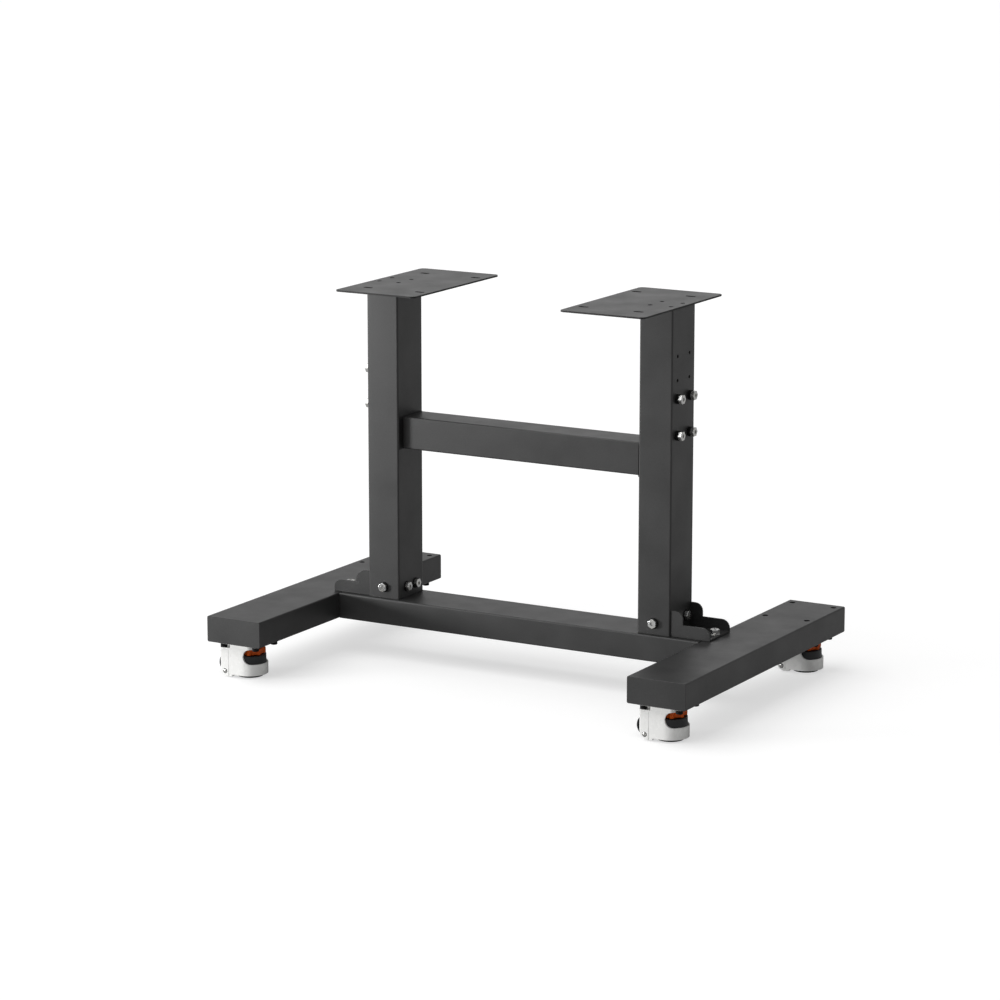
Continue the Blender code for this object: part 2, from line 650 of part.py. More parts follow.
def castor_adjuster():
    """The thumb wheel: a disc with finger lobes round its rim, threaded on the stem."""
    low, high = ADJUSTER_Z
    points = []
    steps = ADJUSTER_LOBES * 5
    for i in range(steps):
        angle = 2 * math.pi * i / steps
        wave = max(0.0, math.cos(ADJUSTER_LOBES * angle + math.radians(18) * ADJUSTER_LOBES))
        radius = ADJUSTER_R - ADJUSTER_LOBE_R + ADJUSTER_LOBE_R * wave ** 0.6
        points.append((radius * math.cos(angle), radius * math.sin(angle)))
    wheel = flat_outline(
        "adjuster_master", points, high - low, Matrix.Identity(4), (FOOT_X, 0, (low + high) / 2)
    )
    bore = cylinder(
        "adjuster_bore", (FOOT_X, 0, (low + high) / 2), STEM_R + 0.3 * MM, 30 * MM, sides=16
    )
    return cut(wheel, bore)


def castor_foot():
    pad = cylinder(
        "foot_master", (FOOT_X, 0, PAD_THICKNESS / 2), PAD_R, PAD_THICKNESS, sides=32, top_radius=PAD_R - MM
    )
    stem_height = STEM_TOP - PAD_THICKNESS / 2
    stem = cylinder(
        "foot_stem", (FOOT_X, 0, (STEM_TOP + PAD_THICKNESS / 2) / 2), STEM_R, stem_height, sides=16
    )
    return join(pad, stem)


def make_castors():
    axle = cylinder("axle_master", (WHEEL_X, 0, WHEEL_Z), AXLE_R, AXLE_LENGTH, "Y", sides=16)
    masters = {
        "mounting_plate": (castor_mount(), ZINC),
        "housing": (castor_housing(), WHITE_CASTING),
        "wheel": (castor_wheel(), BLACK_NYLON),
        "axle": (axle, ZINC),
        "adjuster": (castor_adjuster(), ORANGE_NYLON),
        "levelling_foot": (castor_foot(), BLACK_RUBBER),
    }
    for part, (master, material) in masters.items():
        bpy.context.view_layer.update()
        realise(master)
        master.data.materials.clear()
        master.data.materials.append(material)
        for spot, (x, y) in CASTOR_SPOTS.items():
            made = bpy.data.objects.new(f"castor_{spot}_{part}", master.data)
            made.location = master.location + Vector((x, y, 0))
            STAND.objects.link(made)


def shade():
    for made in STAND.objects:
        made.data.shade_smooth()
        made.data.set_sharp_from_angle(angle=math.radians(35))


make_rails()
make_cross_member()
make_posts()
make_stretcher()
make_top_plates()
make_foot_brackets()
make_bolts()
make_castors()
shade()
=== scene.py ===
# %% [markdown]
# # A machine stand on levelling castors
#
# This is the base of a heavy-duty stand. Two box rails and a cross member make an H on the floor,
# two posts stand on the cross member, a stretcher ties the posts together, and two slotted plates
# on top carry whatever the stand is for. Every corner of the H rests on a levelling castor: a white
# housing with a black wheel behind, a rubber foot in front, and an orange thumb wheel that
# winds the foot down until it takes the load from the wheel.
#
# The measured model comes first. It is fixed: each part keeps its size and its place, and what
# follows gives every part its edges, its small details and its finish.

import math

import bmesh
import bpy
from mathutils import Matrix, Vector


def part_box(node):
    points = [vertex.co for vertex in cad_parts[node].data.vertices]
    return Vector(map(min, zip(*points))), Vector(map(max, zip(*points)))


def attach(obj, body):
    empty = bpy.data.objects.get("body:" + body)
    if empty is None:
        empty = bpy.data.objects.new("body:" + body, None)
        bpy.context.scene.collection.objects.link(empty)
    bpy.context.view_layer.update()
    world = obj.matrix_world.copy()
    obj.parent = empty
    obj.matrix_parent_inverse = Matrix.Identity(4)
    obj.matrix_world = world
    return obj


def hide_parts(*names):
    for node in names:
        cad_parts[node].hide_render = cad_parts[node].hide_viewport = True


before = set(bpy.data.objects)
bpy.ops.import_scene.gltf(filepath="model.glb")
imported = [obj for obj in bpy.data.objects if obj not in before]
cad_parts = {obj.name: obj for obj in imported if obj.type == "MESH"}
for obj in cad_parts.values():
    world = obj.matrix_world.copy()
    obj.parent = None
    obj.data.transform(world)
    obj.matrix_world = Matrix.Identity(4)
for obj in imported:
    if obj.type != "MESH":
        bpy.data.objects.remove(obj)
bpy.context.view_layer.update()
MM = 0.001
SIDES = {"left": -1, "right": 1}
SPOTS = ("front_left", "front_right", "rear_left", "rear_right")

# %% [markdown]
# ## Two small helpers for finishes
#
# Paint and plastic colours are easiest to pick as sRGB hex values, the way a paint chart or a screen
# gives them, but shaders add up light in linear values. One function makes that change. The other
# adds a node, sets it and wires it in one go, so that a finish reads like a recipe.

# %% Colour and node helpers
def linear(hex_colour):
    """An sRGB hex colour such as #3c3c3e as the linear RGBA that a shader works in."""
    channels = [int(hex_colour[i:i + 2], 16) / 255 for i in (1, 3, 5)]
    lit = [c / 12.92 if c <= 0.04045 else ((c + 0.055) / 1.055) ** 2.4 for c in channels]
    return (*lit, 1.0)


def add_node(tree, kind, settings=None, feeds=None):
    """Adds a node: settings go to its properties or sockets, and feeds link outputs into its sockets."""
    node = tree.nodes.new(kind)
    for name, value in (settings or {}).items():
        if isinstance(name, str) and hasattr(node, name):
            setattr(node, name, value)
        else:
            node.inputs[name].default_value = value
    for name, output in (feeds or {}).items():
        tree.links.new(output, node.inputs[name])
    return node


def start_finish(name, **sockets):
    """A new material with its shader set: the material, its tree, its shader and object coordinates."""
    finish = bpy.data.materials.new(name)
    finish.use_nodes = True
    tree = finish.node_tree
    shader = tree.nodes["Principled BSDF"]
    for socket, value in sockets.items():
        shader.inputs[socket.replace("_", " ")].default_value = value
    place = add_node(tree, "ShaderNodeTexCoord").outputs["Object"]
    return finish, tree, shader, place


print("mid grey #808080 is", round(linear("#808080")[0], 3), "in linear light")

# %% [markdown]
# ## Charcoal powder coat
#
# The frame is welded steel tube, blasted and powder coated in a satin charcoal. Powder is sprayed
# dry and melts in an oven, so it flows almost level but keeps an orange-peel skin and a faint
# speckle, and it is a shade lighter where it lies thick. To the eye it is a dark, even surface with
# wide soft highlights. The real peel is about 1 mm across, which is too fine to show from a few
# metres, so it is drawn at 3 mm. Mixing two near greys over 60 mm keeps long tubes from looking flat.

# %% Finish: charcoal powder coat
def powder_coat(name, thin, thick, roughness):
    """A satin polyester powder coat: soft orange peel, a faint speckle and slow changes of shade."""
    finish, tree, shader, place = start_finish(name, Specular_IOR_Level=0.5)
    cloud = add_node(tree, "ShaderNodeTexNoise", {"Scale": 1 / (60 * MM), "Detail": 3.0}, {"Vector": place})
    fleck = add_node(tree, "ShaderNodeTexNoise", {"Scale": 1 / (2.2 * MM), "Detail": 1.0}, {"Vector": place})
    peel = add_node(tree, "ShaderNodeTexNoise", {"Scale": 1 / (3 * MM), "Detail": 2.0}, {"Vector": place})
    shade = add_node(
        tree, "ShaderNodeMix", {"data_type": "RGBA", 6: linear(thin), 7: linear(thick)},
        {0: cloud.outputs["Fac"]},
    )
    speckle = add_node(
        tree, "ShaderNodeMapRange",
        {"From Min": 0.3, "From Max": 0.7, "To Min": 0.9, "To Max": 1.1}, {"Value": fleck.outputs["Fac"]},
    )
    speckled = add_node(
        tree, "ShaderNodeVectorMath", {"operation": "SCALE"},
        {0: shade.outputs[2], "Scale": speckle.outputs["Result"]},
    )
    gloss = add_node(
        tree, "ShaderNodeMapRange",
        {"From Min": 0.3, "From Max": 0.7, "To Min": roughness - 0.05, "To Max": roughness + 0.05},
        {"Value": cloud.outputs["Fac"]},
    )
    skin = add_node(
        tree, "ShaderNodeBump", {"Strength": 0.12, "Distance": 0.2 * MM}, {"Height": peel.outputs["Fac"]}
    )
    tree.links.new(speckled.outputs["Vector"], shader.inputs["Base Color"])
    tree.links.new(gloss.outputs["Result"], shader.inputs["Roughness"])
    tree.links.new(skin.outputs["Normal"], shader.inputs["Normal"])
    return finish


charcoal_powder_coat = powder_coat("charcoal_powder_coat", "#282828", "#303030", 0.42)
# Near black and used only as painted shade: on hole and slot walls, on the top plates' cut edges and on the
# stretcher's end plates.
painted_shade_black = powder_coat("painted_shade_black", "#060606", "#0a0a0a", 0.6)
print("powder coats:", charcoal_powder_coat.name, painted_shade_black.name)

# %% [markdown]
# ## Zinc-plated and blackened steel
#
# Bolts, washers, bearing races and castor plates are steel with bright zinc plating. The plating is
# a metal, so its colour tints what it mirrors, and the passivation on it drifts between a cool and a
# warm silver over a few millimetres. Handling leaves it duller in patches. Socket screws are
# black-oxide steel instead: a thin oiled oxide, nearly black, with a small tight gloss.

# %% Finish: bright zinc plating
def zinc_plating():
    """Bright zinc on steel: a metal that drifts between cool and warm silver, with duller patches."""
    finish, tree, shader, place = start_finish("bright_zinc_plating", Metallic=1.0)
    drift = add_node(tree, "ShaderNodeTexNoise", {"Scale": 1 / (7 * MM), "Detail": 2.0}, {"Vector": place})
    wear = add_node(tree, "ShaderNodeTexNoise", {"Scale": 1 / (2.5 * MM), "Detail": 3.0}, {"Vector": place})
    tint = add_node(
        tree, "ShaderNodeMix", {"data_type": "RGBA", 6: linear("#cfd2d8"), 7: linear("#dddad0")},
        {0: drift.outputs["Fac"]},
    )
    gloss = add_node(
        tree, "ShaderNodeMapRange",
        {"From Min": 0.3, "From Max": 0.7, "To Min": 0.2, "To Max": 0.34}, {"Value": wear.outputs["Fac"]},
    )
    tree.links.new(tint.outputs[2], shader.inputs["Base Color"])
    tree.links.new(gloss.outputs["Result"], shader.inputs["Roughness"])
    return finish


bright_zinc_plating = zinc_plating()
print("plating:", bright_zinc_plating.name)

# %% Finish: black-oxide steel
def black_oxide():
    """Oiled black oxide on steel screws: nearly black, with a drifting gloss."""
    finish, tree, shader, place = start_finish("black_oxide_steel", Specular_IOR_Level=0.15)
    oil = add_node(tree, "ShaderNodeTexNoise", {"Scale": 1 / (3 * MM), "Detail": 2.0}, {"Vector": place})
    shade = add_node(
        tree, "ShaderNodeMix", {"data_type": "RGBA", 6: linear("#0a0a0b"), 7: linear("#131314")},
        {0: oil.outputs["Fac"]},
    )
    gloss = add_node(
        tree, "ShaderNodeMapRange",
        {"From Min": 0.3, "From Max": 0.7, "To Min": 0.5, "To Max": 0.65}, {"Value": oil.outputs["Fac"]},
    )
    tree.links.new(shade.outputs[2], shader.inputs["Base Color"])
    tree.links.new(gloss.outputs["Result"], shader.inputs["Roughness"])
    return finish


black_oxide_steel = black_oxide()
print("screw steel:", black_oxide_steel.name)

# %% [markdown]
# ## White enamel and moulded plastics
#
# The castor housings are die castings under a thick white enamel. It pools level and shiny, so it
# gets a clear coat on a slightly uneven base. The thumb wheel, collar and wheel are injection-moulded
# nylon: coloured right through, with the fine spark-eroded texture of the mould, and the foot pad is
# moulded rubber, which is rougher and has no sharp highlight at all. The mould texture is about
# 0.3 mm on the real parts and is drawn at 1 mm so that it breaks the highlight a little.

# %% Finish: white enamel
def white_enamel():
    """Enamel on a zinc casting: bright, slightly warm, glossy, with a soft casting wave."""
    finish, tree, shader, place = start_finish(
        "white_enamel_on_casting", Coat_Weight=0.35, Coat_Roughness=0.12, Specular_IOR_Level=0.5
    )
    wave = add_node(tree, "ShaderNodeTexNoise", {"Scale": 1 / (14 * MM), "Detail": 2.0}, {"Vector": place})
    shade = add_node(
        tree, "ShaderNodeMix", {"data_type": "RGBA", 6: linear("#f2f2f0"), 7: linear("#f8f8f6")},
        {0: wave.outputs["Fac"]},
    )
    gloss = add_node(
        tree, "ShaderNodeMapRange",
        {"From Min": 0.3, "From Max": 0.7, "To Min": 0.22, "To Max": 0.32}, {"Value": wave.outputs["Fac"]},
    )
    skin = add_node(
        tree, "ShaderNodeBump", {"Strength": 0.1, "Distance": 0.15 * MM}, {"Height": wave.outputs["Fac"]}
    )
    tree.links.new(shade.outputs[2], shader.inputs["Base Color"])
    tree.links.new(gloss.outputs["Result"], shader.inputs["Roughness"])
    tree.links.new(skin.outputs["Normal"], shader.inputs["Normal"])
    return finish


white_enamel_on_casting = white_enamel()
print("enamel:", white_enamel_on_casting.name)

# %% Finish: moulded nylon and rubber
def moulded_plastic(name, dark, light, roughness, grain, shine=0.5):
    """A moulded plastic or rubber: two close shades and the mould's own texture, of a given grain size."""
    finish, tree, shader, place = start_finish(name, Specular_IOR_Level=shine)
    blush = add_node(tree, "ShaderNodeTexNoise", {"Scale": 1 / (12 * MM), "Detail": 2.0}, {"Vector": place})
    mould = add_node(tree, "ShaderNodeTexNoise", {"Scale": 1 / grain, "Detail": 2.0}, {"Vector": place})
    shade = add_node(
        tree, "ShaderNodeMix", {"data_type": "RGBA", 6: linear(dark), 7: linear(light)},
        {0: blush.outputs["Fac"]},
    )
    gloss = add_node(
        tree, "ShaderNodeMapRange",
        {"From Min": 0.3, "From Max": 0.7, "To Min": roughness - 0.06, "To Max": roughness + 0.06},
        {"Value": mould.outputs["Fac"]},
    )
    skin = add_node(
        tree, "ShaderNodeBump", {"Strength": 0.2, "Distance": 0.1 * MM}, {"Height": mould.outputs["Fac"]}
    )
    tree.links.new(shade.outputs[2], shader.inputs["Base Color"])
    tree.links.new(gloss.outputs["Result"], shader.inputs["Roughness"])
    tree.links.new(skin.outputs["Normal"], shader.inputs["Normal"])
    return finish


orange_moulded_nylon = moulded_plastic(
    "orange_moulded_nylon", "#b84600", "#cc5400", 0.4, 1 * MM, shine=0.2
)
black_moulded_nylon = moulded_plastic("black_moulded_nylon", "#121416", "#1a1d20", 0.42, 1 * MM)
black_moulded_rubber = moulded_plastic("black_moulded_rubber", "#0d0d0d", "#141414", 0.75, 1.5 * MM)
print("mouldings:", orange_moulded_nylon.name, black_moulded_nylon.name, black_moulded_rubber.name)

# %% [markdown]
# ## From a mesh to a piece
#
# Every piece below ends the same way: its mesh gets a finish, smooth shading with its real corners
# kept crisp, the body that it moves with, and the measured part that it stands for. Weighted normals
# make large flat faces look flat right up to their rounded edges, as sheet and tube do.

# %% Helper: finish a piece
def finished_piece(name, bm, finish, body, stands_for=(), crisp=35):
    """The bmesh as a piece of the object: riding on a body and standing for the named parts."""
    mesh = bpy.data.meshes.new(name)
    bm.to_mesh(mesh)
    bm.free()
    mesh.materials.append(finish)
    mesh.shade_smooth()
    mesh.set_sharp_from_angle(angle=math.radians(crisp))
    piece = bpy.data.objects.new(name, mesh)
    bpy.context.scene.collection.objects.link(piece)
    even = piece.modifiers.new("even_normals", "WEIGHTED_NORMAL")
    even.keep_sharp = True
    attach(piece, body)
    if stands_for:
        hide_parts(*stands_for)
    return piece


# %% [markdown]
# ## Rounding the edges of the frame
#
# No real steel part has a perfectly sharp edge. Tube corners are rolled, sawn ends are dressed and
# the powder builds up a soft rim, and those rims are what catch the light. The measured parts are
# exact but sharp, so each gets a copy: its loose triangles are merged, flat faces are joined up
# again, and a small bevel runs along every real corner. Two steps are enough at half a millimetre.
# Where a plate has holes or slots, their walls can take a second, near-black finish: painted shade for a
# narrow cut that stays in shade. The laser-cut edges of the top plates are painted as dark, also as painted
# shade.

# %% Helper: a softened copy of a measured part
def softened_copy(part, edge, finish, body="frame", steps=2, sharper_than=34, painted_shade_in_holes=None):
    """A copy of a measured part with its corners rounded by edge, and maybe its hole walls painted dark as
    shade.
    """
    bm = bmesh.new()
    bm.from_mesh(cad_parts[part].data)
    bmesh.ops.remove_doubles(bm, verts=bm.verts, dist=0.002 * MM)
    bmesh.ops.dissolve_limit(bm, angle_limit=math.radians(0.7), verts=bm.verts, edges=bm.edges)
    corners = [
        line for line in bm.edges
        if line.is_manifold and line.calc_face_angle() > math.radians(sharper_than)
    ]
    bmesh.ops.bevel(
        bm, geom=corners, offset=edge, offset_type="OFFSET", segments=steps, profile=0.5,
        affect="EDGES", material=-1, clamp_overlap=True,
    )
    bmesh.ops.remove_doubles(bm, verts=bm.verts, dist=0.002 * MM)
    # Steep faces inside the plate, and every cut edge of a top plate, get the near-black painted shade.
    if painted_shade_in_holes:
        low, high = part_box(part)
        for face in bm.faces:
            at = face.calc_center_median()
            rim = min(at.x - low.x, high.x - at.x, at.y - low.y, high.y - at.y)
            steep = abs(face.normal.z) < 0.9
            if steep and (rim > 6 * MM or part.startswith("top_plate")):
                face.material_index = 1
    piece = finished_piece(part + "_coated", bm, finish, body, [part])
    if painted_shade_in_holes:
        piece.data.materials.append(painted_shade_in_holes)
    return piece


# %% [markdown]
# ## The powder-coated frame
#
# Rails, cross member, posts and stretcher are rectangular steel tube, the brackets at the foot of
# each post are folded sheet, and the top plates are laser-cut plate. They could be drawn again as
# boxes, but their holes and slots already sit where they belong, so a softened copy keeps both.

# %% Make the frame
FRAME_EDGES = {
    "cross_member": 0.7, "stretcher": 0.6,
    "side_rail_left": 0.7, "side_rail_right": 0.7, "post_left": 0.7, "post_right": 0.7,
    "top_plate_left": 0.4, "top_plate_right": 0.4, "foot_bracket_left": 0.6, "foot_bracket_right": 0.6,
    "post_head_block_left": 0.6, "post_head_block_right": 0.6,
}
for part, edge in FRAME_EDGES.items():
    # Rails and top plates get the near-black painted shade in their holes and slots.
    hole_shade_lining = painted_shade_black if part.startswith(("top_plate", "side_rail")) else None
    made = softened_copy(part, edge * MM, charcoal_powder_coat, painted_shade_in_holes=hole_shade_lining)
    print(f"{made.name}: {len(made.data.polygons)} faces")
# The stretcher's end plates take the near-black painted shade of the deep corner between post and stretcher.
for side in SIDES:
    made = softened_copy(f"stretcher_end_plate_{side}", 0.3 * MM, painted_shade_black)
    print(f"{made.name}: {len(made.data.polygons)} faces")

# %% [markdown]
# ## Hexagon bolts
#
# M10 bolts hold the posts to the brackets, on black washers, and four more on the outside of each
# post wait for accessories, run in on a black spacer nut. A forged head is a hexagon with its
# top rim turned off and a small hexagon recess in the middle. A six-sided cylinder gives the
# hexagon, a bevel round the top face gives the turned rim, and an inset with depth gives the recess.
# Each bolt is made upright, with the top of its head at zero, and then turned to face its way.

# %% Helpers: turned rings and hexagon heads
def turned(profile, steps=48, closed=True):
    """A shape turned on a lathe: a half section of (radius, height) points spun about Z."""
    bm = bmesh.new()
    points = [bm.verts.new((radius, 0, height)) for radius, height in profile]
    followers = points[1:] + points[:1] if closed else points[1:]
    lines = [bm.edges.new(pair) for pair in zip(points, followers)]
    bmesh.ops.spin(
        bm, geom=points + lines, cent=(0, 0, 0), axis=(0, 0, 1),
        angle=2 * math.pi, steps=steps, use_merge=True,
    )
    bmesh.ops.remove_doubles(bm, verts=bm.verts, dist=0.001 * MM)
    bmesh.ops.recalc_face_normals(bm, faces=bm.faces)
    return bm


def joined(*meshes):
    """Several bmeshes as one: each goes through a scratch mesh, which is then removed."""
    whole = bmesh.new()
    for bm in meshes:
        scratch = bpy.data.meshes.new("scratch")
        bm.to_mesh(scratch)
        bm.free()
        whole.from_mesh(scratch)
        bpy.data.meshes.remove(scratch)
    return whole


def hexagon_head(corner_radius, height, recess_radius, recess_depth):
    """A hexagon head whose top is at z = 0, with a turned rim and a small recess in its top."""
    rim = 0.9 * MM
    bm = bmesh.new()
    bmesh.ops.create_cone(
        bm, cap_ends=True, segments=6, radius1=corner_radius, radius2=corner_radius, depth=height
    )
    bmesh.ops.translate(bm, vec=(0, 0, -height / 2), verts=bm.verts)
    top = max(bm.faces, key=lambda face: face.calc_center_median().z)
    bmesh.ops.bevel(
        bm, geom=list(top.edges), offset=rim, offset_type="OFFSET", segments=3,
        profile=0.5, affect="EDGES", material=-1,
    )
    top = max(bm.faces, key=lambda face: face.calc_center_median().z)
    flat_radius = corner_radius * 0.87 - rim
    bmesh.ops.inset_individual(bm, faces=[top], thickness=flat_radius - recess_radius)
    bmesh.ops.inset_individual(bm, faces=[top], thickness=0.1 * MM, depth=-recess_depth)
    return bm


def ring(outer, inner, low, high, round_edge=0.3 * MM):
    """A plain washer or collar between two heights, its outer corners eased."""
    return turned([
        (inner, low), (outer - round_edge, low), (outer, low + round_edge),
        (outer, high - round_edge), (outer - round_edge, high), (inner, high),
    ])


def rod(radius, low, high, steps=24):
    """A round bar between two heights with its lower end chamfered."""
    return turned(
        [(0, low), (radius - 1 * MM, low), (radius, low + 1 * MM), (radius, high), (0, high)],
        steps, closed=False,
    )


# %% [markdown]
# A bolt's place comes from the measured part: the middle of its box, moved out to the face that the
# head points to. Its length is the box's length in that direction.

# %% Helper: face a piece along a bolt's direction
def facing(bm, part, direction):
    """Turns an upright bolt to a direction and sets its top on the outermost face of a measured part."""
    low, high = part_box(part)
    direction = Vector(direction)
    reach = [(high - low)[i] / 2 * direction[i] for i in range(3)]
    top = (low + high) / 2 + Vector(reach)
    turn = Vector((0, 0, 1)).rotation_difference(direction).to_matrix().to_4x4()
    bmesh.ops.transform(bm, matrix=Matrix.Translation(top) @ turn, verts=bm.verts)
    return bm


def bolt_length(part, direction):
    """How far a measured part reaches along its own direction."""
    low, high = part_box(part)
    return abs((high - low).dot(Vector(direction)))


HEAD_CORNER, HEAD_HEIGHT = 9.25 * MM, 6.6 * MM
RECESS_RADIUS, RECESS_DEPTH = 2.8 * MM, 3 * MM
WASHER_RADIUS, WASHER_THICK = 10 * MM, 1 * MM
SHANK_RADIUS = 5 * MM
post_bolts = {}
accessory_bolts = {}
for side, sign in SIDES.items():
    for face, way in (("front", -1), ("rear", 1)):
        post_bolts[f"post_{side}_{face}_bolt"] = (0, way, 0)
        post_bolts[f"post_{side}_inner_{face}_bolt"] = (-sign, 0, 0)
        post_bolts[f"post_{side}_outer_{face}_bolt"] = (sign, 0, 0)
        for level in ("lower", "upper"):
            accessory_bolts[f"accessory_bolt_{side}_{face}_{level}"] = (sign, 0, 0)


def zinc_hexagon_bolt(part, direction, shank_radius, *washers):
    """A zinc hexagon bolt, with any washers under its head, standing for a measured bolt."""
    shank = rod(shank_radius, -bolt_length(part, direction), -HEAD_HEIGHT)
    head = hexagon_head(HEAD_CORNER, HEAD_HEIGHT, RECESS_RADIUS, RECESS_DEPTH)
    bolt = facing(joined(head, *washers, shank), part, direction)
    return finished_piece(part + "_zinc", bolt, bright_zinc_plating, "frame", [part])


print(len(post_bolts), "bolts at the foot of the posts,", len(accessory_bolts), "accessory bolts")

# %% Make the bolts at the foot of the posts
for part, direction in post_bolts.items():
    zinc_hexagon_bolt(part, direction, SHANK_RADIUS)
    washer = ring(WASHER_RADIUS, SHANK_RADIUS - 0.5 * MM, -HEAD_HEIGHT - WASHER_THICK, -HEAD_HEIGHT)
    washer_name = part.replace("bolt", "washer")
    finished_piece(washer_name, facing(washer, part, direction), black_oxide_steel, "frame")
print("a washer is", round(2 * WASHER_RADIUS / MM), "mm across")

# %% Make the accessory bolts and their spacer nuts
SPACER_RADIUS, SPACER_HEIGHT = 9 * MM, 6.2 * MM
for part, direction in accessory_bolts.items():
    zinc_hexagon_bolt(part, direction, SHANK_RADIUS)
    nut = ring(SPACER_RADIUS, SHANK_RADIUS, -HEAD_HEIGHT - SPACER_HEIGHT, -HEAD_HEIGHT, 0.6 * MM)
    nut_name = part.replace("bolt", "spacer")
    finished_piece(nut_name, facing(nut, part, direction), black_oxide_steel, "frame")
print("spacer nuts stand the heads", round(SPACER_HEIGHT / MM, 1), "mm off the post")

# %% [markdown]
# ## Bracket bolts and castor screws
#
# One more hexagon bolt holds each foot bracket to its rail, on a spring washer over a flat one. Each
# castor's plate hangs on four black cap screws, run up into the rail from below. A cap screw is a
# turned head with a round bore in it: the head is spun as a ring, and a disc closes the bore below.

# %% Helper: a socket head
def socket_head(radius, height, key_radius, steps=24):
    """A socket cap head whose top is at z = 0: a turned ring with a disc closing its bore."""
    rim = 0.7 * MM
    disc_radius = key_radius + 0.2 * MM
    body = turned([
        (key_radius, -height * 0.55), (key_radius, 0), (radius - rim, 0), (radius, -rim),
        (radius, -height), (key_radius * 0.5, -height),
    ], steps)
    floor = bmesh.new()
    bmesh.ops.create_cone(
        floor, cap_ends=True, segments=steps, radius1=disc_radius, radius2=disc_radius, depth=1 * MM
    )
    bmesh.ops.translate(floor, vec=(0, 0, -height * 0.6), verts=floor.verts)
    return joined(body, floor)


# %% Make the bracket bolts and the castor screws
UP = (0, 0, 1)
BRACKET_SHANK_RADIUS = 3.4 * MM
SPRING_WASHER, FLAT_WASHER = 2 * MM, 1.6 * MM
spring_seat = -HEAD_HEIGHT - SPRING_WASHER
for side in SIDES:
    spring = ring(8.6 * MM, 3.5 * MM, spring_seat, -HEAD_HEIGHT)
    flat = ring(10 * MM, 3.5 * MM, spring_seat - FLAT_WASHER, spring_seat)
    zinc_hexagon_bolt(f"foot_bracket_bolt_{side}", UP, BRACKET_SHANK_RADIUS, spring, flat)

SCREW_RADIUS, SCREW_HEIGHT, SCREW_KEY_RADIUS = 6.5 * MM, 8.2 * MM, 3 * MM
SCREW_DX, SCREW_DY = 35.2 * MM, 31 * MM
PLATE_THICKNESS = 3.5 * MM
half_turn = Matrix.Rotation(math.pi, 4, "X")
for spot in SPOTS:
    low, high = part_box(f"castor_{spot}_mounting_plate")
    middle, lowest = (low + high) / 2, high.z - PLATE_THICKNESS - SCREW_HEIGHT
    heads = []
    for dx in (-SCREW_DX, SCREW_DX):
        for dy in (-SCREW_DY, SCREW_DY):
            head = socket_head(SCREW_RADIUS, SCREW_HEIGHT, SCREW_KEY_RADIUS)
            place = Matrix.Translation((middle.x + dx, middle.y + dy, lowest))
            bmesh.ops.transform(head, matrix=place @ half_turn, verts=head.verts)
            heads.append(head)
    finished_piece(f"castor_{spot}_screws", joined(*heads), black_oxide_steel, "frame")
print("castor screws hang to", round(lowest / MM, 1), "mm above the floor")

# %% [markdown]
# ## Countersunk screws in the top plates
#
# Four black countersunk screws hold each top plate to the block in the head of its post. They sit
# just under the face, so all that shows is a dark ring round a socket: a cone with its wide end up.

# %% Make the top plate screws
SCREW_INWARD, SCREW_OUTWARD, SCREW_SIDEWAYS = 23.4 * MM, 18.6 * MM, 23 * MM
SCREW_SUNK = 0.9 * MM
for side, sign in SIDES.items():
    low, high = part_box(f"post_{side}")
    post_x = (low.x + high.x) / 2
    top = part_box(f"top_plate_{side}")[1].z
    heads = []
    for x in (post_x - sign * SCREW_INWARD, post_x + sign * SCREW_OUTWARD):
        for y in (-SCREW_SIDEWAYS, SCREW_SIDEWAYS):
            head = turned([
                (0, -3.2 * MM), (2.8 * MM, -3.2 * MM), (3.1 * MM, -0.2 * MM), (3.3 * MM, 0),
                (4.2 * MM, 0), (4.3 * MM, -0.3 * MM), (3.4 * MM, -8 * MM), (0, -8 * MM),
            ], 24, closed=False)
            bmesh.ops.translate(head, vec=(x, y, top - SCREW_SUNK), verts=head.verts)
            heads.append(head)
    finished_piece(f"top_plate_{side}_screws", joined(*heads), black_oxide_steel, "frame")
print("top plate screws lie", round(SCREW_SUNK / MM, 1), "mm under the plate's face")

# %% [markdown]
# ## Castor plates and housings
#
# A castor is a small machine: a zinc-plated plate with a ball race under it, and a white casting that
# turns on the race. The casting is a half round round the foot, with two square cheeks behind it for
# the wheel, and a window in front where a hand reaches the thumb wheel. The measured part has all of
# those cuts, so it is softened like the frame, with a wider radius, because castings are never sharp.

# %% Make the plates and housings
castor_axis = {}
for spot in SPOTS:
    low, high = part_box(f"castor_{spot}_mounting_plate")
    castor_axis[spot] = Vector(((low.x + high.x) / 2, (low.y + high.y) / 2, 0))
    softened_copy(f"castor_{spot}_mounting_plate", 0.5 * MM, bright_zinc_plating)
    made = softened_copy(
        f"castor_{spot}_housing", 1.0 * MM, white_enamel_on_casting,
        f"castor_{spot}", steps=3,
    )
    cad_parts[f"castor_{spot}_axle"].data.materials[0] = bright_zinc_plating
print("housing faces:", len(made.data.polygons))

# %% [markdown]
# ## Cheek pads and their screws
#
# Low on each cheek the casting swells by 0.7 mm into a rounded pad that carries the axle, with a small
# screw in a dark ring. A flatter pad runs on above it, up to the shoulder. Each is a thin box with its
# low rear corner rolled and its rims eased.

# %% Make the cheek pads
CHEEK_Y = 33.5 * MM


